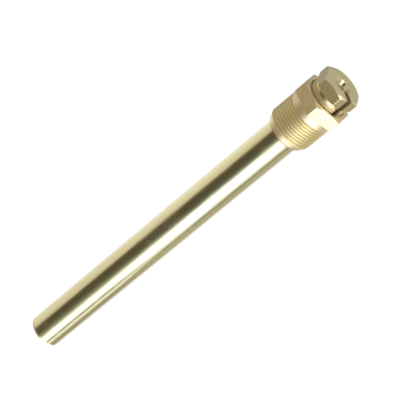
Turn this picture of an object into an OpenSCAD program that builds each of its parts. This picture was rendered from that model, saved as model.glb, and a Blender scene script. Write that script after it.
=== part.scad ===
// Brass immersion pocket for a temperature sensor: a closed tube, brazed into a threaded
// hexagon bush, with a slotted gland nut, washers and a split packing in the bush's mouth.
// Millimetres. The origin is on the axis in the sealing shoulder, the underside of the
// hexagon; +Z runs up the axis to the gland nut, and the closed end points down.

/* [Pocket tube] */
// Length from the sealing shoulder to the closed end
insertion_l = 220; // [120:1:450]
// Outside diameter of the tube
tube_d = 20; // [17:0.5:21]
// Wall thickness of the tube
tube_wall = 0.8; // [0.6:0.1:1.2]

/* [End plug] */
// Thickness of the rim that closes the tube
plug_rim_h = 1.6; // [1.4:0.1:3]
// Radius of the rim's rounded outer edge
plug_round_r = 1.2; // [0.3:0.1:1.5]
// Length of the spigot that stands inside the tube
plug_spigot_h = 4; // [2:0.5:10]
// Radial gap for brazing metal around a brazed piece
braze_gap = 0.05; // [0.02:0.01:0.1]

/* [Threaded bush] */
// Outside diameter of the process thread and the collar above it
thread_d = 26.44; // [26:0.01:26.9]
// Length of the process thread
thread_l = 15.1; // [11:0.1:24]
// Length of the plain collar between thread and hexagon
collar_l = 4.1; // [2:0.1:6]
// Length of the lead-in taper below the thread
leadin_l = 2.7; // [1:0.1:4]
// Diameter of the plain pilot at the bush's lower end
pilot_d = 24; // [23.4:0.1:25]
// Length of the pilot
pilot_l = 1.2; // [1.1:0.1:4]
// Bevel on the pilot's lower edge
pilot_bevel = 1; // [0.2:0.1:1.1]
// Spanner size of the bush's hexagon
bush_af = 27; // [27:0.5:32]
// Height of the bush's hexagon
bush_hex_h = 8; // [6:0.5:14]
// Depth of the gland chamber, from the hexagon's top face
chamber_l = 15; // [14:0.5:18]
// Thickness of the ledge between gland chamber and tube socket
ledge_l = 2; // [1:0.25:3]
// Outer diameter of the chamber's countersunk mouth
mouth_d = 23.3; // [23:0.1:24.5]

/* [Solder ring] */
// Width of the solder fillet on the bush's lower face
solder_w = 0.8; // [0.4:0.1:0.9]
// Height of the solder fillet on the tube
solder_h = 0.6; // [0.3:0.1:1]

/* [Gland nut] */
// Outside diameter of the gland thread
gland_thread_d = 22; // [21:0.1:22.4]
// Radial running clearance of the gland thread in the chamber
gland_gap = 0.08; // [0.05:0.01:0.1]
// Spanner size of the gland nut
gland_af = 22; // [22:0.5:24]
// Height of the gland nut's hexagonal head
gland_head_h = 7; // [5:0.5:10]
// Height of the head above the bush in the stored pose
gland_stand = 3.75; // [2:0.25:6]
// Angle of the gland nut about the axis in the stored pose
gland_turn = 20; // [0:1:60]
// Diameter of the hole for the capillary
hole_d = 4.5; // [4.2:0.1:5]
// Diameter of the funnel at the hole's mouth
funnel_d = 10; // [7:0.5:12]
// Depth of the funnel
funnel_h = 2; // [1:0.25:3]
// Width of the slot through which the capillary is laid in
slot_w = 3.1; // [2:0.1:3.4]
// Bevel on the lower end of the threaded shank
shank_bevel = 0.8; // [0.4:0.1:1.2]
// Diameter of the plain neck between head and thread
neck_d = 21.5; // [20:0.1:21.5]
// Length of the neck
neck_l = 1.3; // [0.8:0.1:1.8]

/* [Washers and packing] */
// Thickness of each slotted washer
washer_h = 1; // [0.6:0.1:1.5]
// Diameter of the hole in each washer
washer_hole_d = 5; // [4.6:0.1:7]
// Width of the slot in each washer
washer_slot_w = 3.2; // [2.6:0.1:4]
// Thickness of the split packing
packing_h = 4; // [2.5:0.25:5]
// Diameter of the hole in the packing
packing_hole_d = 3; // [1.5:0.25:4]
// Width of the packing's slit
packing_slit_w = 0.4; // [0.3:0.1:1]
// Radial gap of washers and packing in the chamber
loose_gap = 0.3; // [0.1:0.05:0.5]
// Free travel of the nut and its washer above the packing
tighten_l = 1.3; // [0.5:0.1:2]

/* [Hidden] */
$fn = 120;
chamfer_deg = 30;                                   // slope of the cut on hexagon corners
chamfer_share = 0.985;                              // the cut's circle as a share of the flats
fillet_share = 0.35;                                // how far the solder's fillet is hollowed
eps = 0.01;                                         // overrun of a cutting tool
clear = 1;                                          // reach of a tool past an outer face
foot_land = 0.1;                                    // flat left outside the solder fillet
tube_r = tube_d / 2;
tube_bore_r = tube_r - tube_wall;
thread_r = thread_d / 2;
pilot_r = pilot_d / 2;
chamber_r = gland_thread_d / 2 + gland_gap;
socket_r = tube_r + braze_gap;
loose_r = chamber_r - loose_gap;
solder_reach = min(solder_w, pilot_r - socket_r - 2 * foot_land);  // a fillet limited by its wall
foot_r = max(pilot_r - pilot_bevel, socket_r + solder_reach + foot_land);
thread_end_z = -(collar_l + thread_l);              // lower end of the thread
pilot_z = thread_end_z - leadin_l;                  // top of the pilot
bush_end_z = pilot_z - pilot_l;                     // lower face of the bush
chamber_z = bush_hex_h - chamber_l;                 // floor of the gland chamber
tube_top_z = chamber_z - ledge_l;                   // the tube stops under the ledge
tube_end_z = -insertion_l + plug_rim_h;             // the tube stops on the plug's rim
packing_z = chamber_z + washer_h;
thrust_z = packing_z + packing_h + tighten_l;
shank_z = thrust_z + washer_h;                      // lower end of the gland nut
head_z = bush_hex_h + gland_stand;                  // underside of the gland nut's head
head_top_z = head_z + gland_head_h;
slot_turn = gland_turn - 60;                        // the slot cuts the middle of a flat
round_steps = 8;                                    // straight pieces in a rounded profile
thrust_slot_turn = -150;                            // the washers' slots face other ways
lower_slot_turn = 60;

// A hexagonal prism with a corner towards -Y. A cone cuts the corners of its top back,
// and with cut_low those of its underside too.
module hexagon(af, z0, z1, cut_low) {
    corner_r = af / sqrt(3);
    cut_r = af / 2 * chamfer_share;                 // where a cone meets the end face
    out_r = corner_r + clear;
    rise = (out_r - cut_r) * tan(chamfer_deg);
    intersection() {
        translate([0, 0, z0]) rotate([0, 0, 30]) cylinder(r = corner_r, h = z1 - z0, $fn = 6);
        rotate_extrude() polygon([
            [0, z0], [cut_low ? cut_r : out_r, z0], [out_r, cut_low ? z0 + rise : z0],
            [out_r, z1 - rise], [cut_r, z1], [0, z1]]);
    }
}

// A slot from the axis outwards, turned about the axis from the +X direction.
module slot(w, len, z0, z1, turn) {
    rotate([0, 0, turn]) translate([0, -w / 2, z0]) cube([len, w, z1 - z0]);
}

// A flat ring with a hole and one open slot.
module slotted_ring(r, hole_r, w, z0, h, turn) {
    difference() {
        translate([0, 0, z0]) cylinder(r = r, h = h);
        translate([0, 0, z0 - eps]) cylinder(r = hole_r, h = h + 2 * eps);
        slot(w, r + clear, z0 - eps, z0 + h + eps, turn);
    }
}

// Drawn tube, open at both ends.
module pocket_tube() {
    color([0.86, 0.80, 0.60])
    difference() {
        translate([0, 0, tube_end_z]) cylinder(r = tube_r, h = tube_top_z - tube_end_z);
        translate([0, 0, tube_end_z - eps])
            cylinder(r = tube_bore_r, h = tube_top_z - tube_end_z + 2 * eps);
    }
}

// Turned plug: a rounded rim as wide as the tube, with a spigot brazed inside it.
module end_plug() {
    z = -insertion_l;
    r = plug_round_r;
    color([0.84, 0.77, 0.55])
    rotate_extrude() polygon(concat(
        [[0, z]],
        [for (i = [0 : round_steps]) let (a = -90 + 90 * i / round_steps)
            [tube_r - r + r * cos(a), z + r + r * sin(a)]],
        [[tube_r, z + plug_rim_h],
         [tube_bore_r - braze_gap, z + plug_rim_h],
         [tube_bore_r - braze_gap, z + plug_rim_h + plug_spigot_h],
         [0, z + plug_rim_h + plug_spigot_h]]));
}

// Turned hexagon bush: chamber for the gland above, ledge, socket for the tube below.
module threaded_bush() {
    mouth_r = mouth_d / 2;
    color([0.80, 0.68, 0.40])
    difference() {
        union() {
            hexagon(bush_af, 0, bush_hex_h, false);
            rotate_extrude() polygon([
                [0, bush_end_z], [foot_r, bush_end_z],
                [pilot_r, bush_end_z + pilot_r - foot_r], [pilot_r, pilot_z],
                [thread_r, thread_end_z], [thread_r, eps], [0, eps]]);
        }
        rotate_extrude() polygon([
            [0, chamber_z], [chamber_r, chamber_z],
            [chamber_r, bush_hex_h - (mouth_r - chamber_r)],
            [mouth_r + eps, bush_hex_h + eps], [0, bush_hex_h + eps]]);
        translate([0, 0, tube_top_z - eps]) cylinder(r = tube_bore_r, h = ledge_l + 2 * eps);
        rotate_extrude() polygon([
            [0, bush_end_z - eps], [socket_r + solder_reach + eps, bush_end_z - eps],
            [socket_r, bush_end_z + solder_reach], [socket_r, tube_top_z], [0, tube_top_z]]);
    }
}

// Solder that fills the socket's bevelled mouth and runs out in a fillet on the tube.
module solder_ring() {
    color([0.72, 0.66, 0.52])
    rotate_extrude() polygon([
        [tube_r, bush_end_z + solder_reach], [tube_r, bush_end_z - solder_h],
        [tube_r + solder_reach * fillet_share, bush_end_z - solder_h * fillet_share],
        [tube_r + solder_reach, bush_end_z]]);
}

// Washer on the chamber's floor, under the packing.
module lower_washer() {
    color([0.82, 0.72, 0.45])
    slotted_ring(loose_r, washer_hole_d / 2, washer_slot_w, chamber_z, washer_h,
                 lower_slot_turn);
}

// Rubber packing, slit on one side so that it closes around the capillary.
module packing_ring() {
    color([0.10, 0.10, 0.10])
    slotted_ring(loose_r, packing_hole_d / 2, packing_slit_w, packing_z, packing_h,
                 slot_turn + 180);
}

// Washer under the gland nut, which it keeps from twisting the packing.
module thrust_washer() {
    color([0.82, 0.72, 0.45])
    slotted_ring(loose_r, washer_hole_d / 2, washer_slot_w, thrust_z, washer_h,
                 thrust_slot_turn);
}

// Gland nut: hexagonal head cut back at both ends, plain neck, threaded shank, a hole
// with a rounded funnel, and a slot from the hole through one flat along the whole nut.
module gland_nut() {
    shank_r = gland_thread_d / 2;
    neck_r = neck_d / 2;
    neck_z = head_z - neck_l;
    hole_r = hole_d / 2;
    flare = funnel_d / 2 - hole_r;
    color([0.80, 0.74, 0.55])
    difference() {
        union() {
            rotate([0, 0, gland_turn]) hexagon(gland_af, head_z, head_top_z, true);
            rotate_extrude() polygon([
                [0, shank_z], [shank_r - shank_bevel, shank_z],
                [shank_r, shank_z + shank_bevel], [shank_r, neck_z - (shank_r - neck_r)],
                [neck_r, neck_z], [neck_r, head_z + eps], [0, head_z + eps]]);
        }
        translate([0, 0, shank_z - eps]) cylinder(r = hole_r, h = head_top_z - shank_z + clear);
        rotate_extrude() polygon(concat(
            [[0, head_top_z - funnel_h]],
            [for (i = [0 : round_steps]) let (a = 90 * i / round_steps)
                [hole_r + flare * (1 - cos(a)), head_top_z - funnel_h * (1 - sin(a))]],
            [[hole_r + flare, head_top_z + eps], [0, head_top_z + eps]]));
        slot(slot_w, gland_af, shank_z - eps, head_top_z + eps, slot_turn);
    }
}

pocket_tube();
end_plug();
threaded_bush();
solder_ring();
lower_washer();
packing_ring();
thrust_washer();
gland_nut();
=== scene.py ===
"""A brass immersion pocket for a temperature sensor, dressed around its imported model.

A bright drawn tube with a brazed end plug hangs from a turned hexagon bush with a pipe
thread; a slotted gland nut stands in the bush's mouth. Metres, +Z up the pocket's axis,
the origin in the sealing shoulder under the bush's hexagon.
"""
import math

import bpy
from mathutils import Matrix, Vector


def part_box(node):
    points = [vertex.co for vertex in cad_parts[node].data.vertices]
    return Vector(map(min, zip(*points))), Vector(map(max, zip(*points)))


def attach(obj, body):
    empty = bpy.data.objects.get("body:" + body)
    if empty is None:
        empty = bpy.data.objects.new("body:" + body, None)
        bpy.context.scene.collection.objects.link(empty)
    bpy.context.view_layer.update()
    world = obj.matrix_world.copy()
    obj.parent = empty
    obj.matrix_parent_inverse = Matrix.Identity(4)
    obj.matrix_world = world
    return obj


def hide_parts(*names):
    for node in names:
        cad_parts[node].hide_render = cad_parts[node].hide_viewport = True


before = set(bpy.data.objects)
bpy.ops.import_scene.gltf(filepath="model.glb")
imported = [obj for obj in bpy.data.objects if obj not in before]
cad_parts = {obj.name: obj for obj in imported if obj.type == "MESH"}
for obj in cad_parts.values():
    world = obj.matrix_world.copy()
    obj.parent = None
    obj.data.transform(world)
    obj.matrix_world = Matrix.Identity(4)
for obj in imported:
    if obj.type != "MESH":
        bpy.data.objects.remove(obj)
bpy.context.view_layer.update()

# ---------------------------------------------------------------------------
# Sizes, from the frame's own pieces and the threads' standards
# ---------------------------------------------------------------------------
MM = 0.001
STEPS = 192                                   # segments round a turned piece
TUBE_LO, TUBE_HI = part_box("pocket_tube")
PLUG_LO, PLUG_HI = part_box("end_plug")
BUSH_LO, BUSH_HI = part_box("threaded_bush")
NUT_LO, NUT_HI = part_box("gland_nut")

TUBE_R = TUBE_HI.x
TUBE_WALL = 0.8 * MM
TUBE_BORE_R = TUBE_R - TUBE_WALL
BRAZE_GAP = 0.05 * MM                         # play round a brazed piece
PLUG_ROUND = 1.2 * MM                         # rounding of the end plug's rim
PLUG_ROUND_STEPS = 8
SEAM = 0.10 * MM                              # edge break on both sides of a seam

BUSH_AF = 2 * BUSH_HI.x                       # spanner size of the bush
BUSH_EDGE = 0.35 * MM                         # width of its rounded long edges
COLLAR_R = 13.22 * MM                         # plain collar over the process thread
COLLAR_Z = -4.1 * MM                          # where collar and thread meet
THREAD_END_Z = COLLAR_Z - 15.1 * MM           # lower end of the full thread
PILOT_R = 12.0 * MM
PILOT_Z = THREAD_END_Z - 2.7 * MM             # top of the pilot, foot of the lead-in
PILOT_BEVEL = 1.0 * MM
PIPE_PITCH = 25.4 * MM / 14                   # fourteen threads an inch
PIPE_DEPTH = 0.33 * PIPE_PITCH                # shallow ridges, their crests taken down
SOCKET_R = TUBE_R + BRAZE_GAP
SOLDER_W = 0.8 * MM                           # the bevel that the solder fills
LEDGE_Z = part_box("lower_washer")[0].z         # floor of the gland chamber
MOUTH_R = 11.65 * MM                          # countersunk mouth of the chamber

GLAND_PITCH = 1.25 * MM
GLAND_DEPTH = 0.30 * GLAND_PITCH
GLAND_R = 10.97 * MM                          # crest of the gland nut's thread
GLAND_GAP = 0.09 * MM                         # play of its thread in the bush's chamber
GLAND_AF = 22.0 * MM                          # spanner size of the gland nut
GLAND_EDGE = 0.3 * MM                         # width of its rounded long edges
GLAND_TURN = math.radians(20)                 # the nut stands this far on from the bush
GLAND_LEAD_Z = NUT_LO.z                       # foot of the nut, where its thread starts
SHANK_BEVEL = 0.8 * MM
HEAD_Z = NUT_HI.z - 7.0 * MM                  # underside of the nut's head
NECK_R = 10.75 * MM
NECK_Z = HEAD_Z - 1.8 * MM                    # the plain neck under the head starts here
NECK_FOOT_R = NECK_R - 0.25 * MM              # it narrows a little towards the thread
HOLE_R = 2.25 * MM
FUNNEL_R = 4.95 * MM
FUNNEL_SLOPES = (28, 62)                      # degrees, at its rim and at the hole
FUNNEL_STEPS = 12
FUNNEL_BRIGHT = 0.52                          # steeper parts of the funnel take the darker drilled finish, painted shade that trims its highlight
FUNNEL_DEPTH = 4.2 * MM                       # no part of the funnel lies deeper
SLOT_W = 3.1 * MM
SLOT_TURN = GLAND_TURN - math.radians(60)     # out through the middle of one flat

SCUFF_Z = -113 * MM                           # middle of the tube's scuffed stretch
SCUFF_LENGTH = 24 * MM                        # and how far the scuffs reach from it

CUT_TOP = math.tan(math.radians(30))          # how a hexagon's corners are cut back
CUT_UNDER = math.tan(math.radians(33))        # and the corners under the nut's head
CUT_SHARE = 0.985                             # the cut's circle as a share of the flats

PAST = 0.1 * MM                               # a cutter ends this far past a face
UNDER_ROOT = 0.05 * MM                        # a core ends this far inside the thread
NEAR = 0.01 * MM                              # faces this close count as on a surface
MERGE_WITHIN = 0.0005 * MM                    # corners this close become one
ON_PLANE = 0.0001 * MM                        # and this close to a cut count as on it
FLAT_WITHIN = math.radians(0.2)               # faces this level with another join it
SMOOTH_UNDER = math.radians(26)               # edges flatter than this are smoothed


# ---------------------------------------------------------------------------
# Workshop: how the pieces are made
# ---------------------------------------------------------------------------
def deselect():
    bpy.ops.object.select_all(action="DESELECT")


def finish_mesh(piece, name):
    """Merge what meets, turn all faces outwards and name the piece."""
    bpy.ops.object.mode_set(mode="EDIT")
    bpy.ops.mesh.select_all(action="SELECT")
    bpy.ops.mesh.remove_doubles(threshold=MERGE_WITHIN)
    bpy.ops.mesh.normals_make_consistent(inside=False)
    bpy.ops.object.mode_set(mode="OBJECT")
    piece.name = name
    return piece


def chain(outline):
    """An edge chain through (radius, height) points, drawn out of one vertex."""
    deselect()
    bpy.ops.mesh.primitive_plane_add(size=MM)
    piece = bpy.context.object
    bpy.ops.object.mode_set(mode="EDIT")
    bpy.ops.mesh.select_all(action="SELECT")
    bpy.ops.mesh.merge(type="CENTER")
    bpy.ops.transform.translate(value=(outline[0][0], 0, outline[0][1]))
    for (r0, z0), (r1, z1) in zip(outline, outline[1:]):
        bpy.ops.mesh.extrude_vertices_move(
            TRANSFORM_OT_translate={"value": (r1 - r0, 0, z1 - z0)})
    bpy.ops.object.mode_set(mode="OBJECT")
    return piece


def turned(name, outline, steps=STEPS):
    """A turned piece: its outline spun once about the axis."""
    piece = chain(outline)
    bpy.ops.object.mode_set(mode="EDIT")
    bpy.ops.mesh.select_all(action="SELECT")
    bpy.ops.mesh.spin(steps=steps, angle=math.tau, center=(0, 0, 0), axis=(0, 0, 1))
    bpy.ops.object.mode_set(mode="OBJECT")
    return finish_mesh(piece, name)


def arc(r, z, radius, start, end, count):
    """Points on a quarter or less of a circle about (r, z), angles in degrees."""
    angles = [math.radians(start + (end - start) * i / count) for i in range(count + 1)]
    return [(r + radius * math.cos(a), z + radius * math.sin(a)) for a in angles]


def threaded_rod(name, crest_r, depth, pitch, z0, z1, lead_z, steps=96, waves=20):
    """A solid rod with a right-handed round thread, cut flat at both ends.

    A crest passes the +X side half a pitch above lead_z. The half step keeps every
    vertex off the end planes."""
    half_step = pitch / (2 * steps)
    start = lead_z + half_step - pitch * math.ceil((lead_z - z0) / pitch + 1.5)
    turns = math.ceil((z1 - start) / pitch) + 1
    rise = [(1 - math.cos(math.tau * i / waves)) / 2 for i in range(waves + 1)]
    rod = chain([(crest_r - depth * (1 - h), start + pitch * i / waves)
                 for i, h in enumerate(rise)])
    screw = rod.modifiers.new("turns", "SCREW")
    screw.axis = "Z"
    screw.angle = math.tau
    screw.screw_offset = pitch
    screw.iterations = turns
    screw.steps = screw.render_steps = steps
    bpy.ops.object.modifier_apply(modifier=screw.name)
    bpy.ops.object.mode_set(mode="EDIT")
    bpy.ops.mesh.select_all(action="SELECT")
    bpy.ops.mesh.remove_doubles(threshold=MERGE_WITHIN)
    for z, side in ((z1, {"clear_outer": True}), (z0, {"clear_inner": True})):
        bpy.ops.mesh.select_all(action="SELECT")
        bpy.ops.mesh.bisect(plane_co=(0, 0, z), plane_no=(0, 0, 1), use_fill=True,
                            threshold=ON_PLANE, **side)
    bpy.ops.object.mode_set(mode="OBJECT")
    return finish_mesh(rod, name)


def take_up(piece):
    """Make a piece the only one selected, and the active one."""
    deselect()
    bpy.context.view_layer.objects.active = piece
    piece.select_set(True)


def combine(piece, tool, operation):
    """Join, cut or intersect a piece with a tool, and put the tool away."""
    take_up(piece)
    step = piece.modifiers.new(operation.lower(), "BOOLEAN")
    step.operation = operation
    step.solver = "MANIFOLD"
    step.object = tool
    bpy.ops.object.modifier_apply(modifier=step.name)
    bpy.data.objects.remove(tool)


def hexagon(name, af, z0, z1, turn, cut_low, edge):
    """A hexagonal bar end: rounded long edges, corners cut back by cones."""
    corner_r = af / math.sqrt(3)
    deselect()
    bpy.ops.mesh.primitive_cylinder_add(vertices=6, radius=corner_r, depth=z1 - z0,
                                        location=(0, 0, (z0 + z1) / 2))
    bar = bpy.context.object
    bpy.ops.object.transform_apply(location=True, rotation=False, scale=False)
    bpy.ops.object.mode_set(mode="EDIT")
    bpy.ops.mesh.select_all(action="DESELECT")
    bpy.ops.object.mode_set(mode="OBJECT")
    for e in bar.data.edges:
        a, b = (bar.data.vertices[v].co for v in e.vertices)
        e.select = abs(a.z - b.z) > (z1 - z0) / 2
    bpy.ops.object.mode_set(mode="EDIT")
    bpy.ops.mesh.select_mode(type="EDGE")
    bpy.ops.mesh.bevel(offset=edge, offset_type="WIDTH", segments=4, profile=0.5)
    bpy.ops.mesh.select_mode(type="VERT")
    bpy.ops.mesh.select_all(action="SELECT")
    bpy.ops.transform.rotate(value=-turn, orient_axis="Z", center_override=(0, 0, 0))
    bpy.ops.object.mode_set(mode="OBJECT")
    cut_r = af / 2 * CUT_SHARE
    out_r = corner_r + MM
    low = [(out_r, z0 - MM)]
    foot = z0 - MM
    if cut_low:
        low = [(cut_r, z0), (out_r, z0 + (out_r - cut_r) * CUT_UNDER)]
        foot = z0
    high = [(out_r, z1 - (out_r - cut_r) * CUT_TOP), (cut_r, z1), (0, z1)]
    cones = turned("cones", [(0, foot)] + low + high)
    combine(bar, cones, "INTERSECT")
    return finish_mesh(bar, name)


def shade(piece):
    """Smooth the round faces, keep flat ones flat and corners sharp."""
    take_up(piece)
    bpy.ops.object.mode_set(mode="EDIT")
    bpy.ops.mesh.select_all(action="SELECT")
    bpy.ops.mesh.dissolve_limited(angle_limit=FLAT_WITHIN)
    bpy.ops.object.mode_set(mode="OBJECT")
    bpy.ops.object.shade_smooth_by_angle(angle=SMOOTH_UNDER)
    weigh = piece.modifiers.new("weighted", "WEIGHTED_NORMAL")
    weigh.keep_sharp = True
    weigh.weight = 100
    bpy.ops.object.modifier_apply(modifier=weigh.name)


# ---------------------------------------------------------------------------
# Pocket: drawn tube and brazed end plug
# ---------------------------------------------------------------------------
def make_tube():
    """Drawn tube, its two ends lightly broken."""
    z0, z1 = TUBE_LO.z, TUBE_HI.z
    tube = turned("drawn_tube", [
        (TUBE_BORE_R, z0), (TUBE_R - SEAM, z0), (TUBE_R, z0 + SEAM),
        (TUBE_R, z1 - SEAM), (TUBE_R - SEAM, z1), (TUBE_BORE_R, z1), (TUBE_BORE_R, z0)])
    shade(tube)
    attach(tube, "pocket")
    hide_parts("pocket_tube")
    return tube


def make_plug():
    """End plug with a rounded rim; its spigot stands inside the tube."""
    z = PLUG_LO.z
    rim_z = TUBE_LO.z
    spigot_r = TUBE_BORE_R - BRAZE_GAP
    plug = turned("brazed_end_plug", [(0, z)]
                  + arc(TUBE_R - PLUG_ROUND, z + PLUG_ROUND, PLUG_ROUND, -90, 0, PLUG_ROUND_STEPS)
                  + [(TUBE_R, rim_z - SEAM), (TUBE_R - SEAM, rim_z), (spigot_r, rim_z),
                     (spigot_r, PLUG_HI.z), (0, PLUG_HI.z)])
    shade(plug)
    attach(plug, "pocket")
    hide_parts("end_plug")
    return plug


# ---------------------------------------------------------------------------
# Bush: hexagon, collar, pipe thread, lead-in and pilot around the gland chamber
# ---------------------------------------------------------------------------
def make_bush():
    """Thread, lead-in, collar and hexagon joined, then bored for the gland and the tube."""
    top, foot = BUSH_HI.z, BUSH_LO.z
    crest = COLLAR_R - 0.02 * MM                # the crests end just inside the collar
    lead_r = crest - 0.15 * MM                  # and the lead-in just inside the crests
    core = crest - PIPE_DEPTH - UNDER_ROOT
    core_foot, core_top = THREAD_END_Z + 1.0 * MM, COLLAR_Z - 0.8 * MM
    rod_top = COLLAR_Z + 0.4 * MM               # the rod runs on into the collar
    collar_top = 0.5 * MM                       # and the collar into the hexagon
    thread = threaded_rod("bush_body", crest, PIPE_DEPTH, PIPE_PITCH,
                          THREAD_END_Z, rod_top, THREAD_END_Z)
    lead = turned("lead_in", [
        (0, foot), (PILOT_R - PILOT_BEVEL, foot), (PILOT_R, foot + PILOT_BEVEL),
        (PILOT_R, PILOT_Z), (lead_r, THREAD_END_Z), (lead_r, THREAD_END_Z + 0.1 * MM),
        (core, core_foot), (core, core_top),
        (COLLAR_R, COLLAR_Z), (COLLAR_R, collar_top), (0, collar_top)])
    combine(thread, lead, "UNION")
    combine(thread, hexagon("bush_hexagon", BUSH_AF, 0, top, 0, False, BUSH_EDGE), "UNION")
    bore_r = GLAND_R + GLAND_GAP
    chamber = turned("chamber", [
        (0, LEDGE_Z), (bore_r, LEDGE_Z), (bore_r, top - (MOUTH_R - bore_r)),
        (MOUTH_R + PAST, top + PAST), (0, top + PAST)])
    combine(thread, chamber, "DIFFERENCE")
    socket = turned("socket", [
        (0, foot - MM), (SOCKET_R + SOLDER_W + MM, foot - MM), (SOCKET_R, foot + SOLDER_W),
        (SOCKET_R, TUBE_HI.z), (TUBE_BORE_R, TUBE_HI.z), (TUBE_BORE_R, LEDGE_Z + MM),
        (0, LEDGE_Z + MM)])
    combine(thread, socket, "DIFFERENCE")
    finish_mesh(thread, "bush_body")
    shade(thread)
    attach(thread, "pocket")
    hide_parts("threaded_bush")
    return thread


# ---------------------------------------------------------------------------
# Gland nut: hexagon head, neck, threaded shank, capillary hole with its funnel, slot
# ---------------------------------------------------------------------------
def make_nut():
    """Threaded shank, neck and head joined, then drilled, funnelled and slotted."""
    top, foot = NUT_HI.z, GLAND_LEAD_Z
    core = GLAND_R - GLAND_DEPTH - UNDER_ROOT
    core_top = NECK_Z - 0.9 * MM
    neck_top = HEAD_Z + 0.5 * MM                # the neck runs on into the head
    runout_foot, runout_top = NECK_Z - 0.12 * MM, NECK_Z + 0.23 * MM
    runout_r = NECK_R - 0.4 * MM                # the thread ends on a slope down to here
    thread = threaded_rod("gland_nut_body", GLAND_R, GLAND_DEPTH, GLAND_PITCH,
                          foot, NECK_Z + 0.3 * MM, foot)
    limit = turned("shank_limit", [
        (0, foot - PAST), (GLAND_R - SHANK_BEVEL - PAST, foot - PAST),
        (GLAND_R + PAST, foot + SHANK_BEVEL + PAST), (GLAND_R + PAST, runout_foot),
        (runout_r, runout_top), (0, runout_top)])
    combine(thread, limit, "INTERSECT")
    neck = turned("neck", [
        (0, foot + SHANK_BEVEL), (core, foot + SHANK_BEVEL), (core, core_top),
        (NECK_FOOT_R, NECK_Z), (NECK_R, HEAD_Z), (NECK_R, neck_top), (0, neck_top)])
    combine(thread, neck, "UNION")
    head = hexagon("nut_head", GLAND_AF, HEAD_Z, top, GLAND_TURN, True, GLAND_EDGE)
    combine(thread, head, "UNION")
    mouth = [(FUNNEL_R, top)]
    for i in range(FUNNEL_STEPS):
        slope = math.radians(FUNNEL_SLOPES[0] + (FUNNEL_SLOPES[1] - FUNNEL_SLOPES[0])
                             * i / (FUNNEL_STEPS - 1))
        r, z = mouth[-1]
        step = (FUNNEL_R - HOLE_R) / FUNNEL_STEPS
        mouth.append((r - step, z - step * math.tan(slope)))
    hole = turned("hole", [(0, top + MM), (FUNNEL_R, top + MM)] + mouth
                  + [(HOLE_R, foot - MM), (0, foot - MM)], steps=STEPS // 2)
    combine(thread, hole, "DIFFERENCE")
    deselect()
    bpy.ops.mesh.primitive_cube_add(size=1)
    slot = bpy.context.object
    length = GLAND_AF
    bpy.ops.object.mode_set(mode="EDIT")
    bpy.ops.mesh.select_all(action="SELECT")
    bpy.ops.transform.resize(value=(length, SLOT_W, top - foot + 2 * MM))
    bpy.ops.transform.translate(value=(length / 2, 0, (top + foot) / 2))
    bpy.ops.transform.rotate(value=-SLOT_TURN, orient_axis="Z", center_override=(0, 0, 0))
    bpy.ops.object.mode_set(mode="OBJECT")
    combine(thread, slot, "DIFFERENCE")
    finish_mesh(thread, "gland_nut_body")
    shade(thread)
    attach(thread, "gland")
    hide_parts("gland_nut")
    return thread


# ---------------------------------------------------------------------------
# Finishes
# ---------------------------------------------------------------------------
BAR_LINES = (9000.0, 90.0)                    # features a metre, across and along the axis
CLOUDS = (260.0, 260.0)
DRAWN_LINES = (1600.0, 25.0)
TUBE_WAVES = (130.0, 45.0)
TUBE_RIPPLE = (600.0, 170.0)
TUBE_TONE = (420.0, 14.0)
SMUDGES = (260.0, 110.0)
SCUFFS = (2300.0, 1500.0)
RIPPLE_SHARE = 0.18                           # of the ripple in the tube's waves
SMUDGE_RANGE = (0.47, 0.70)                   # the noise's range from clear to marked
SMUDGE_SHARE = 0.40                           # how strong a smudge is beside a scuff
SCUFF_RANGE = (0.48, 0.64)
SCUFF_CORE = 0.4                              # share of the stretch that is scuffed fully
RING_TURN = 0.4                               # how fast a ring changes round the axis
UPRIGHT = 0.2                                 # the normal's z on a flat stays below this
TONE_FROM, TONE_TO = 0.35, 0.65               # the noise's range from clean to toned
MARK_ROUGH = 0.32                             # how much rougher a smudge or scuff is
ROOT_SHADE_DULL = 0.55                            # painted shade: how far a thread's root is taken from bare metal
GRAIN_ROUGH = 0.3                             # how far the marks' height moves roughness


def add(tree, kind, **settings):
    """One shader node; names that start with in_ set its inputs by number."""
    made = tree.nodes.new(kind)
    for key, value in settings.items():
        if key.startswith("in_"):
            socket = made.inputs[int(key[3:])]
            if hasattr(value, "is_output"):
                tree.links.new(value, socket)
            else:
                socket.default_value = value
        else:
            setattr(made, key, value)
    return made


def maths(tree, operation, a, b=0.0, c=0.0):
    return add(tree, "ShaderNodeMath", operation=operation, in_0=a, in_1=b, in_2=c).outputs[0]


def blend(tree, share, a, b):
    """A colour between a and b."""
    mix = add(tree, "ShaderNodeMix", data_type="RGBA")
    for socket, value in ((mix.inputs[0], share), (mix.inputs[6], a), (mix.inputs[7], b)):
        if hasattr(value, "is_output"):
            tree.links.new(value, socket)
        else:
            socket.default_value = value
    return mix.outputs[2]


def effect(name, inputs, outputs):
    """An empty node group with named float inputs and outputs."""
    group = bpy.data.node_groups.new(name, "ShaderNodeTree")
    for label, value in inputs:
        socket = group.interface.new_socket(label, in_out="INPUT", socket_type="NodeSocketFloat")
        socket.default_value = value
    for label in outputs:
        group.interface.new_socket(label, in_out="OUTPUT", socket_type="NodeSocketFloat")
    return group, group.nodes.new("NodeGroupInput"), group.nodes.new("NodeGroupOutput")


def stretched(tree, x, y, z, across, along):
    """Coordinates with so many features a metre across the axis and along it."""
    return add(tree, "ShaderNodeCombineXYZ", in_0=maths(tree, "MULTIPLY", x, across),
               in_1=maths(tree, "MULTIPLY", y, across),
               in_2=maths(tree, "MULTIPLY", z, along)).outputs[0]


def noise(tree, vector, detail=2.0, roughness=0.5):
    return add(tree, "ShaderNodeTexNoise", noise_dimensions="3D", in_0=vector, in_2=1.0,
               in_3=detail, in_4=roughness).outputs[0]


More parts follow.
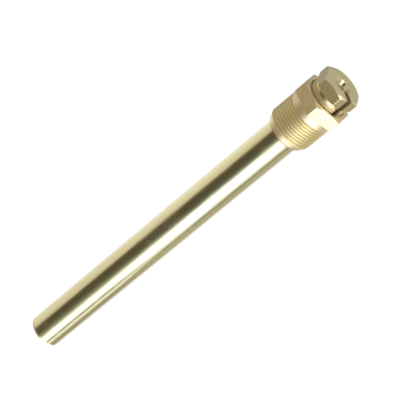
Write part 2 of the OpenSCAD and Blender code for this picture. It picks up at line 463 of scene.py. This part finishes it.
def axes(tree):
    """Object coordinates apart, and the distance from the axis."""
    point = add(tree, "ShaderNodeTexCoord").outputs["Object"]
    x, y, z = add(tree, "ShaderNodeSeparateXYZ", in_0=point).outputs
    radius = maths(tree, "SQRT", maths(tree, "ADD", maths(tree, "MULTIPLY", x, x),
                                       maths(tree, "MULTIPLY", y, y)))
    return x, y, z, radius


def make_machined_marks():
    """Rings left by the turning tool; upright faces beyond Bar Radius keep the bar's
    drawn lines along their length instead."""
    tree, given, result = effect(
        "machined_marks", [("Feed", 0.06 * MM), ("Bar Radius", 1.0)], ["Height", "Tone"])
    x, y, z, radius = axes(tree)
    ring = add(tree, "ShaderNodeCombineXYZ",
               in_0=maths(tree, "DIVIDE", radius, given.outputs["Feed"]),
               in_1=maths(tree, "DIVIDE", z, given.outputs["Feed"]),
               in_2=maths(tree, "MULTIPLY", maths(tree, "ARCTAN2", y, x), RING_TURN)).outputs[0]
    rings = noise(tree, ring, 2.0, 0.6)
    lines = noise(tree, stretched(tree, x, y, z, *BAR_LINES), 2.0, 0.6)
    normal = add(tree, "ShaderNodeNewGeometry").outputs["Normal"]
    up = add(tree, "ShaderNodeSeparateXYZ", in_0=normal).outputs[2]
    upright = maths(tree, "LESS_THAN", maths(tree, "ABSOLUTE", up), UPRIGHT)
    outside = maths(tree, "GREATER_THAN", radius, given.outputs["Bar Radius"])
    on_bar = maths(tree, "MULTIPLY", upright, outside)
    height = add(tree, "ShaderNodeMix", data_type="FLOAT", in_0=on_bar, in_2=rings,
                 in_3=lines).outputs[0]
    cloud = noise(tree, stretched(tree, x, y, z, *CLOUDS), 3.0, 0.6)
    tree.links.new(height, result.inputs["Height"])
    tree.links.new(cloud, result.inputs["Tone"])
    return tree


def make_drawn_streaks():
    """Fine lines that the drawing die leaves along a tube, slow waves in its wall, and
    marks of handling: soft smudges and one scuffed stretch. Height is in metres."""
    tree, given, result = effect(
        "drawn_streaks", [("Line Depth", 0.0), ("Wave Depth", 0.0)], ["Height", "Tone", "Marks"])
    x, y, z, _ = axes(tree)
    lines = noise(tree, stretched(tree, x, y, z, *DRAWN_LINES), 3.0, 0.65)
    waves = noise(tree, stretched(tree, x, y, z, *TUBE_WAVES), 2.0, 0.5)
    ripple = noise(tree, stretched(tree, x, y, z, *TUBE_RIPPLE), 2.0, 0.5)
    slow = maths(tree, "MULTIPLY_ADD", ripple, RIPPLE_SHARE, waves)
    height = maths(tree, "MULTIPLY_ADD", lines, given.outputs["Line Depth"],
                   maths(tree, "MULTIPLY", slow, given.outputs["Wave Depth"]))
    tone = noise(tree, stretched(tree, x, y, z, *TUBE_TONE), 3.0, 0.6)
    smudge = add(tree, "ShaderNodeMapRange", interpolation_type="SMOOTHSTEP",
                 in_0=noise(tree, stretched(tree, x, y, z, *SMUDGES), 4.0, 0.65),
                 in_1=SMUDGE_RANGE[0], in_2=SMUDGE_RANGE[1]).outputs[0]
    speck = add(tree, "ShaderNodeMapRange", interpolation_type="SMOOTHSTEP",
                in_0=noise(tree, stretched(tree, x, y, z, *SCUFFS), 3.0, 0.65),
                in_1=SCUFF_RANGE[0], in_2=SCUFF_RANGE[1]).outputs[0]
    offset = maths(tree, "ABSOLUTE", maths(tree, "SUBTRACT", z, SCUFF_Z))
    near = add(tree, "ShaderNodeMapRange", interpolation_type="SMOOTHSTEP", in_0=offset,
               in_1=SCUFF_LENGTH, in_2=SCUFF_CORE * SCUFF_LENGTH).outputs[0]
    scuff = maths(tree, "MULTIPLY", speck, near)
    tree.links.new(height, result.inputs["Height"])
    tree.links.new(tone, result.inputs["Tone"])
    smudge = maths(tree, "MULTIPLY", smudge, SMUDGE_SHARE)
    tree.links.new(maths(tree, "MAXIMUM", smudge, scuff), result.inputs["Marks"])
    return tree


def new_finish(name, metallic):
    """A material with its node tree and its shader."""
    material = bpy.data.materials.new(name)
    material.use_nodes = True
    tree = material.node_tree
    shader = tree.nodes["Principled BSDF"]
    shader.inputs["Metallic"].default_value = metallic
    return material, tree, shader


def emboss(tree, shader, height, relief):
    """Bump from a height; relief is its strength and its depth in metres."""
    bump = add(tree, "ShaderNodeBump")
    bump.inputs["Strength"].default_value = relief[0]
    bump.inputs["Distance"].default_value = relief[1]
    tree.links.new(height, bump.inputs["Height"])
    tree.links.new(bump.outputs["Normal"], shader.inputs["Normal"])


def brass(name, clean, toned, rough, marks, values, relief, root_shade=None):
    """Brass: colour and roughness drift with the marks' tone, bump from their height.
    A thread also has root shade: crest radius, root radius and the colour at the root, darker
    than the crest and less metallic there as painted shade."""
    material, tree, shader = new_finish(name, 1.0)
    group = add(tree, "ShaderNodeGroup", node_tree=marks)
    for label, value in values.items():
        group.inputs[label].default_value = value
    tone = group.outputs["Tone"]
    share = add(tree, "ShaderNodeMapRange", in_0=tone, in_1=TONE_FROM, in_2=TONE_TO).outputs[0]
    colour = blend(tree, share, clean, toned)
    if root_shade:
        # painted shade: from crest to root the colour darkens and the metal dulls
        crest, root, dark = root_shade
        depth = add(tree, "ShaderNodeMapRange", in_0=axes(tree)[-1], in_1=crest, in_2=root)
        colour = blend(tree, depth.outputs[0], colour, dark)
        dull = maths(tree, "MULTIPLY_ADD", depth.outputs[0], -ROOT_SHADE_DULL, 1.0)
        tree.links.new(dull, shader.inputs["Metallic"])
    tree.links.new(colour, shader.inputs["Base Color"])
    grain = maths(tree, "MULTIPLY_ADD", group.outputs["Height"], GRAIN_ROUGH,
                  1 - GRAIN_ROUGH / 2)
    level = add(tree, "ShaderNodeMapRange", in_0=share, in_3=rough[0], in_4=rough[1]).outputs[0]
    level = maths(tree, "MULTIPLY", level, grain)
    if "Marks" in group.outputs:
        level = maths(tree, "MULTIPLY_ADD", group.outputs["Marks"], MARK_ROUGH, level)
    tree.links.new(level, shader.inputs["Roughness"])
    emboss(tree, shader, group.outputs["Height"], relief)
    return material


def plain(name, colour, toned, metallic, rough, grain_size, relief):
    """A matt or rough finish with a fine grain, such as solder, rubber or a saw-cut face."""
    material, tree, shader = new_finish(name, metallic)
    x, y, z, _ = axes(tree)
    grain = noise(tree, stretched(tree, x, y, z, 1 / grain_size, 1 / grain_size), 3.0, 0.6)
    share = add(tree, "ShaderNodeMapRange", in_0=grain, in_1=TONE_FROM, in_2=TONE_TO).outputs[0]
    tree.links.new(blend(tree, share, colour, toned), shader.inputs["Base Color"])
    level = add(tree, "ShaderNodeMapRange", in_0=share, in_3=rough[0], in_4=rough[1]).outputs[0]
    tree.links.new(level, shader.inputs["Roughness"])
    emboss(tree, shader, grain, relief)
    return material


def dress(piece, *finishes, which=None):
    """Give a piece its finishes; which(centre, normal) picks one for each face."""
    piece.data.materials.clear()
    for finish in finishes:
        piece.data.materials.append(finish)
    if which:
        for face in piece.data.polygons:
            face.material_index = which(face.center, face.normal)


def bush_finish(centre, normal):
    """0 hexagon, 1 thread, 2 turned foot and chamber wall, 3 collar, 4 the foot's faces that look
    down, in a darker colour.
    """
    radius = math.hypot(centre.x, centre.y)
    steep = abs(normal.z) < 0.5
    if radius < GLAND_R + GLAND_GAP + NEAR and steep and centre.z > LEDGE_Z:
        return 2
    if centre.z < THREAD_END_Z - SEAM / 2:
        facing_down = normal.z < -0.6
        # faces that look down at the foot take a darker brown finish
        return 4 if facing_down else 2
    # the collar takes a paler copy of the brass, which makes its highlight whiter: painted
    # highlight
    if COLLAR_Z < centre.z < 0 and radius < COLLAR_R + SEAM:
        return 3
    thread_root = COLLAR_R - PIPE_DEPTH - SEAM
    return 1 if centre.z < COLLAR_Z and radius > thread_root else 0


def plug_finish(centre, normal):
    """0 drawn side, 1 the turned rounding and end, which look down and take a dark brown colour
    as painted shade.
    """
    facing_down = normal.z < -0.35
    return 1 if facing_down and centre.z < TUBE_LO.z else 0


def nut_finish(centre, normal):
    """0 head, 1 thread, 2 the saw-cut slot, the drilled hole and the steep funnel, darker and
    half metal as painted shade, 3 the polished funnel.
    """
    radius = math.hypot(centre.x, centre.y)
    along = centre.x * math.cos(SLOT_TURN) + centre.y * math.sin(SLOT_TURN)
    across = centre.y * math.cos(SLOT_TURN) - centre.x * math.sin(SLOT_TURN)
    upright = abs(normal.z) < 0.1
    if along > 0 and abs(abs(across) - SLOT_W / 2) < NEAR and upright:
        return 2
    if radius < HOLE_R + NEAR and upright:
        return 2
    sloping = normal.z < 0.999
    # the steep part of the funnel takes the darker finish: painted shade
    if radius < FUNNEL_R and centre.z > NUT_HI.z - FUNNEL_DEPTH - SEAM and sloping:
        return 3 if normal.z > FUNNEL_BRIGHT else 2
    return 1 if centre.z < NECK_Z and radius > GLAND_R - GLAND_DEPTH - SEAM else 0


machined_marks = make_machined_marks()
drawn_streaks = make_drawn_streaks()
bright_tube = brass("bright_drawn_brass", (0.80, 0.715, 0.42, 1), (0.75, 0.665, 0.38, 1),
                    (0.05, 0.09), drawn_streaks,
                    {"Line Depth": 0.0006 * MM, "Wave Depth": 0.10 * MM}, (1.0, 1.0))
turned_bush = brass("turned_bush_brass", (0.82, 0.71, 0.43, 1), (0.75, 0.62, 0.37, 1),
                    (0.30, 0.38), machined_marks, {"Feed": 0.06 * MM, "Bar Radius": 13.3 * MM},
                    (0.4, 0.003 * MM))
turned_nut = brass("turned_nut_brass", (0.79, 0.70, 0.43, 1), (0.73, 0.63, 0.38, 1),
                   (0.21, 0.28), machined_marks, {"Feed": 0.06 * MM, "Bar Radius": 10.98 * MM},
                   (0.3, 0.002 * MM))
washer_brass = brass("washer_brass", (0.78, 0.66, 0.38, 1), (0.70, 0.57, 0.30, 1),
                     (0.25, 0.35), machined_marks, {"Feed": 0.08 * MM, "Bar Radius": 1.0},
                     (0.5, 0.004 * MM))
soft_solder = plain("solder_fillet", (0.62, 0.54, 0.40, 1), (0.50, 0.40, 0.26, 1), 1.0,
                    (0.30, 0.42), 0.6 * MM, (0.4, 0.02 * MM))
rubber = plain("packing_rubber", (0.030, 0.030, 0.032, 1), (0.045, 0.045, 0.046, 1), 0.0,
               (0.55, 0.70), 0.3 * MM, (0.4, 0.02 * MM))

# The last colour of each thread is painted shade in its roots.
pipe_thread = brass("pipe_thread_brass", (0.80, 0.69, 0.35, 1), (0.77, 0.65, 0.32, 1),
                    (0.42, 0.48), machined_marks, {"Feed": 0.06 * MM, "Bar Radius": 1.0},
                    (0.05, 0.001 * MM),
                    (COLLAR_R, COLLAR_R - PIPE_DEPTH, (0.66, 0.53, 0.24, 1)))
gland_thread = brass("gland_thread_brass", (0.78, 0.67, 0.38, 1), (0.74, 0.63, 0.35, 1),
                     (0.38, 0.44), machined_marks, {"Feed": 0.06 * MM, "Bar Radius": 1.0},
                     (0.05, 0.001 * MM),
                     (GLAND_R, GLAND_R - GLAND_DEPTH, (0.58, 0.46, 0.26, 1)))
turned_foot = brass("turned_foot_brass", (0.78, 0.67, 0.39, 1), (0.74, 0.62, 0.35, 1),
                    (0.30, 0.36), machined_marks, {"Feed": 0.05 * MM, "Bar Radius": 1.0},
                    (0.2, 0.002 * MM))
# painted highlight: a paler copy of the bush's brass, so the collar's highlight shows whiter
turned_collar_highlight = brass("paler_collar_highlight_brass", (0.86, 0.76, 0.48, 1), (0.82, 0.71, 0.43, 1),
                      (0.36, 0.44), machined_marks, {"Feed": 0.05 * MM, "Bar Radius": 1.0},
                      (0.2, 0.002 * MM))
polished = brass("polished_funnel_brass", (0.80, 0.70, 0.42, 1), (0.77, 0.67, 0.39, 1),
                 (0.15, 0.20), machined_marks, {"Feed": 0.03 * MM, "Bar Radius": 1.0},
                 (0.2, 0.001 * MM))
# Rough saw-cut and drilled faces; their darker, half-metal colour is painted shade in the slot
# and the hole.
sawn_and_shade = plain("saw_cut_shade_brass", (0.52, 0.40, 0.21, 1), (0.43, 0.33, 0.17, 1), 0.5,
             (0.45, 0.60), 0.25 * MM, (0.4, 0.01 * MM))

# painted shade: a dark brown copy of brass for the plug's rounding and end, which look down
plug_end_shade = brass("dark_plug_end_shade_brass", (0.36, 0.28, 0.16, 1), (0.30, 0.23, 0.13, 1),
                   (0.30, 0.38), machined_marks, {"Feed": 0.05 * MM, "Bar Radius": 1.0},
                   (0.3, 0.002 * MM))
# a darker brown, part-metal finish for the foot's faces that look down
darker_downward = plain("darker_downward_brass", (0.42, 0.33, 0.22, 1), (0.34, 0.26, 0.17, 1), 0.7,
                (0.45, 0.55), 0.25 * MM, (0.4, 0.01 * MM))

dress(make_tube(), bright_tube)
dress(make_plug(), bright_tube, plug_end_shade, which=plug_finish)
dress(make_bush(), turned_bush, pipe_thread, turned_foot, turned_collar_highlight, darker_downward,
      which=bush_finish)
dress(make_nut(), turned_nut, gland_thread, sawn_and_shade, polished, which=nut_finish)
for node, finish in (("solder_ring", soft_solder), ("lower_washer", washer_brass),
                     ("thrust_washer", washer_brass), ("packing_ring", rubber)):
    dress(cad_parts[node], finish)


# ---------------------------------------------------------------------------
# Studio: pale floor, light tent, black flag, soft lamp, camera
# ---------------------------------------------------------------------------
FLOOR_Z = -0.5
FLOOR_SIZE = 12
FLOOR_GREY = 0.55
FLOOR_GLOW = 0.72                             # added where the camera or metal sees it
TENT_R = 0.38
TENT_TOP = 0.35
TENT_LIFT = 2 * MM                            # the tent's own floor over the pale one


def make_floor():
    """A pale floor that keeps the pocket's shadow and glows a little where it is seen."""
    deselect()
    bpy.ops.mesh.primitive_plane_add(size=FLOOR_SIZE, location=(0, 0, FLOOR_Z))
    floor = bpy.context.object
    floor.name = "pale_floor"
    material = bpy.data.materials.new("pale_floor")
    material.use_nodes = True
    tree = material.node_tree
    tree.nodes.clear()
    matt = add(tree, "ShaderNodeBsdfDiffuse", in_0=(FLOOR_GREY, FLOOR_GREY, FLOOR_GREY, 1))
    path = add(tree, "ShaderNodeLightPath")
    seen = maths(tree, "MAXIMUM", path.outputs["Is Camera Ray"],
                 maths(tree, "MAXIMUM", path.outputs["Is Glossy Ray"],
                       path.outputs["Is Transmission Ray"]))
    glow = add(tree, "ShaderNodeEmission", in_0=(1, 1, 1, 1),
               in_1=maths(tree, "MULTIPLY", seen, FLOOR_GLOW))
    both = add(tree, "ShaderNodeAddShader", in_0=matt.outputs[0], in_1=glow.outputs[0])
    out = add(tree, "ShaderNodeOutputMaterial")
    tree.links.new(both.outputs[0], out.inputs[0])
    floor.data.materials.append(material)


# What stands round the pocket, by the angle from -Y towards +X: pale walls, a dark gap
# and a large white card. Each stop is an angle in degrees, and red, green and blue.
ROUND_TIP = [(-180, 1.00, 1.00, 1.05), (-130, 0.97, 0.97, 1.00), (-100, 0.87, 0.87, 0.87),
             (-78, 0.82, 0.82, 0.78), (-68, 0.68, 0.67, 0.61), (-61, 0.42, 0.40, 0.34),
             (-55, 0.20, 0.185, 0.14), (-49, 0.12, 0.108, 0.085), (-30, 0.115, 0.107, 0.086),
             (-18, 0.14, 0.14, 0.108), (-9, 0.19, 0.20, 0.16), (-3, 0.26, 0.28, 0.24),
             (3, 0.36, 0.40, 0.38), (9, 0.53, 0.60, 0.64), (14, 0.84, 0.96, 1.20),
             (20, 1.45, 1.50, 1.85), (26, 2.20, 2.20, 2.50), (44, 2.20, 2.20, 2.50),
             (53, 1.00, 1.14, 1.45), (61, 0.46, 0.52, 0.57), (68, 0.62, 0.69, 0.76),
             (74, 1.20, 1.27, 1.42), (78, 1.45, 1.50, 1.62), (85, 0.72, 0.73, 0.72),
             (95, 0.48, 0.47, 0.43), (107, 0.39, 0.37, 0.33), (119, 0.44, 0.44, 0.45),
             (131, 0.76, 0.80, 0.94), (148, 1.00, 1.00, 1.05), (180, 1.00, 1.00, 1.05)]
ROUND_TUBE = [(-180, 1.00, 1.00, 1.05), (-128, 1.03, 1.06, 1.12), (-110, 0.93, 0.94, 0.93),
              (-90, 0.87, 0.875, 0.84), (-76, 0.82, 0.82, 0.78), (-68, 0.66, 0.65, 0.59),
              (-62, 0.42, 0.405, 0.35), (-56, 0.22, 0.205, 0.16), (-50, 0.13, 0.117, 0.09),
              (-36, 0.11, 0.10, 0.082), (-24, 0.112, 0.107, 0.09), (-13, 0.13, 0.135, 0.125),
              (-6, 0.18, 0.195, 0.185), (-1, 0.265, 0.30, 0.29), (5, 0.46, 0.53, 0.58),
              (11, 0.88, 1.00, 1.35), (17, 1.60, 1.70, 2.10), (23, 2.20, 2.20, 2.55),
              (55, 2.20, 2.20, 2.55), (62, 1.30, 1.42, 1.90), (69, 0.88, 1.00, 1.25),
              (76, 0.56, 0.62, 0.66), (84, 0.34, 0.37, 0.32), (91, 0.40, 0.42, 0.37),
              (101, 0.68, 0.67, 0.62), (111, 0.46, 0.45, 0.42), (123, 0.56, 0.56, 0.58),
              (138, 0.88, 0.92, 1.10), (155, 1.00, 1.00, 1.05), (180, 1.00, 1.00, 1.05)]
ROUND_HEAD = [(-180, 0.57, 0.55, 0.50), (-138, 0.37, 0.355, 0.36), (-100, 0.66, 0.64, 0.58),
              (-62, 0.445, 0.375, 0.275), (-20, 0.37, 0.315, 0.21), (-4, 0.37, 0.35, 0.27),
              (10, 1.10, 1.15, 1.25), (20, 2.20, 2.20, 2.60), (62, 2.20, 2.20, 2.60),
              (74, 1.05, 1.06, 1.06), (89, 0.58, 0.54, 0.46), (106, 0.37, 0.34, 0.25),
              (118, 0.68, 0.67, 0.62), (140, 0.70, 0.69, 0.62), (180, 0.57, 0.55, 0.50)]
ROUND_FOOT = [(-180, 0.20, 0.17, 0.13), (-150, 0.30, 0.27, 0.20), (-90, 0.46, 0.42, 0.33),
              (-20, 0.40, 0.35, 0.26), (-4, 0.46, 0.42, 0.34), (10, 1.10, 1.10, 1.25),
              (25, 1.90, 1.90, 2.20), (100, 1.90, 1.90, 2.20), (124, 0.90, 0.90, 0.84),
              (150, 0.30, 0.27, 0.20), (180, 0.20, 0.17, 0.13)]
BRIGHTEST = 2.6                               # above any level in the four rows
TENT_FOOT_R = (0.33, 0.365)                   # the tent's floor begins inside its walls
TIP_WALL_Z = (-0.425, -0.345)                 # where the tip's row fades into the tube's
HEAD_WALL_Z = (-0.208, -0.192)                # and where the tube's fades into the head's
FLAG_AT = Vector((-0.065, -0.380, 0.587))     # middle of the black flag
FLAG_SIZE = (0.30, 0.60)                      # its width and height
FLAG_GREY = 0.03
WORLD_GREY = 0.58
LAMP_AT = Vector((0.62, -0.20, 1.325))        # the soft lamp looks back at the origin
LAMP_LENGTH = Vector((0.365, -0.883, -0.297))  # which way its long side runs
LAMP_SIZE = (0.80, 0.30)
LAMP_POWER = 5.4
CAMERA_AT = (-0.012698, -0.834973, 0.399217)
CAMERA_RIGHT = Vector((0.64308968, 0.37917881, 0.6653263))
CAMERA_FORWARD = Vector((0.01167703, 0.86385295, -0.50360871))
SENSOR = 36                                   # the camera's sensor width, millimetres
LENS = 164.19                                 # and its focal length


def only_mirrored(piece):
    """Let bright metal mirror a stage piece that nothing else sees."""
    piece.visible_camera = False
    piece.visible_diffuse = False
    piece.visible_shadow = False
    piece.visible_transmission = False


def surroundings(tree, share, row):
    """One row of stops as a colour ramp over the turn round the pocket."""
    ramp = add(tree, "ShaderNodeValToRGB", in_0=share)
    stops = ramp.color_ramp.elements
    while len(stops) < len(row):
        stops.new(0.5)
    for stop, (angle, *levels) in zip(stops, row):
        stop.position = (angle + 180) / 360
        stop.color = [level / BRIGHTEST for level in levels] + [1]
    return ramp.outputs[0]


def make_tent():
    """Walls and floor of the light tent, which only the metal mirrors."""
    foot = FLOOR_Z + TENT_LIFT
    tent = turned("light_tent", [(0, foot), (TENT_R, foot), (TENT_R, TENT_TOP)],
                  steps=STEPS // 2)
    material = bpy.data.materials.new("light_tent")
    material.use_nodes = True
    tree = material.node_tree
    tree.nodes.clear()
    x, y, z, radius = axes(tree)
    turn = maths(tree, "ARCTAN2", x, maths(tree, "MULTIPLY", y, -1.0))
    share = maths(tree, "MULTIPLY_ADD", turn, 1 / math.tau, 0.5)
    above_tip = add(tree, "ShaderNodeMapRange", interpolation_type="SMOOTHSTEP", in_0=z,
                    in_1=TIP_WALL_Z[0], in_2=TIP_WALL_Z[1]).outputs[0]
    at_head = add(tree, "ShaderNodeMapRange", interpolation_type="SMOOTHSTEP", in_0=z,
                  in_1=HEAD_WALL_Z[0], in_2=HEAD_WALL_Z[1]).outputs[0]
    below = add(tree, "ShaderNodeMapRange", interpolation_type="SMOOTHSTEP", in_0=radius,
                in_1=TENT_FOOT_R[1], in_2=TENT_FOOT_R[0]).outputs[0]
    tip, tube, head, under = (surroundings(tree, share, row)
                              for row in (ROUND_TIP, ROUND_TUBE, ROUND_HEAD, ROUND_FOOT))
    walls = blend(tree, at_head, blend(tree, above_tip, tip, tube), head)
    glow = add(tree, "ShaderNodeEmission", in_0=blend(tree, below, walls, under),
               in_1=BRIGHTEST)
    out = add(tree, "ShaderNodeOutputMaterial")
    tree.links.new(glow.outputs[0], out.inputs[0])
    tent.data.materials.append(material)
    only_mirrored(tent)


def turned_to(right, up, back):
    """The rotation whose own X, Y and Z run along three directions."""
    return Matrix((right, up, back)).transposed().to_euler()


def make_flag():
    """A black flag high in front: the funnel mirrors it as the dark edge of its highlight."""
    aside = Vector((FLAG_AT.y, -FLAG_AT.x, 0)).normalized()
    away = FLAG_AT.normalized()
    deselect()
    bpy.ops.mesh.primitive_plane_add(size=1, location=FLAG_AT,
                                     rotation=turned_to(aside, away.cross(aside), away))
    flag = bpy.context.object
    flag.name = "black_flag"
    flag.scale = (FLAG_SIZE[0], FLAG_SIZE[1], 1)
    bpy.ops.object.transform_apply(location=True, rotation=True, scale=True)
    material, _, shader = new_finish("black_flag", 0.0)
    shader.inputs["Base Color"].default_value = (FLAG_GREY, FLAG_GREY, FLAG_GREY, 1)
    shader.inputs["Roughness"].default_value = 0.9
    flag.data.materials.append(material)
    only_mirrored(flag)


def make_light():
    """An even grey room and one long soft lamp overhead."""
    world = bpy.data.worlds.new("soft_studio")
    bpy.context.scene.world = world
    world.use_nodes = True
    room = world.node_tree.nodes["Background"]
    room.inputs[0].default_value = (WORLD_GREY, WORLD_GREY, WORLD_GREY, 1)
    room.inputs[1].default_value = 1.0
    lamp = bpy.data.lights.new("soft_lamp", "AREA")
    lamp.shape = "RECTANGLE"
    lamp.size, lamp.size_y = LAMP_SIZE
    lamp.energy = LAMP_POWER
    holder = bpy.data.objects.new("soft_lamp", lamp)
    bpy.context.collection.objects.link(holder)
    holder.location = LAMP_AT
    back = LAMP_AT.normalized()
    across = back.cross(LAMP_LENGTH).normalized()
    holder.rotation_euler = turned_to(across.cross(back), across, back)


def make_camera():
    """Camera above and in front, rolled so that the pocket lies on the diagonal."""
    data = bpy.data.cameras.new("camera")
    data.sensor_width = SENSOR
    data.lens = LENS
    camera = bpy.data.objects.new("camera", data)
    bpy.context.collection.objects.link(camera)
    camera.location = CAMERA_AT
    right, forward = CAMERA_RIGHT.normalized(), CAMERA_FORWARD.normalized()
    camera.rotation_euler = turned_to(right, right.cross(forward), -forward)
    bpy.context.scene.camera = camera


make_floor()
make_tent()
make_flag()
make_light()
make_camera()
bpy.context.scene.view_settings.view_transform = "Standard"
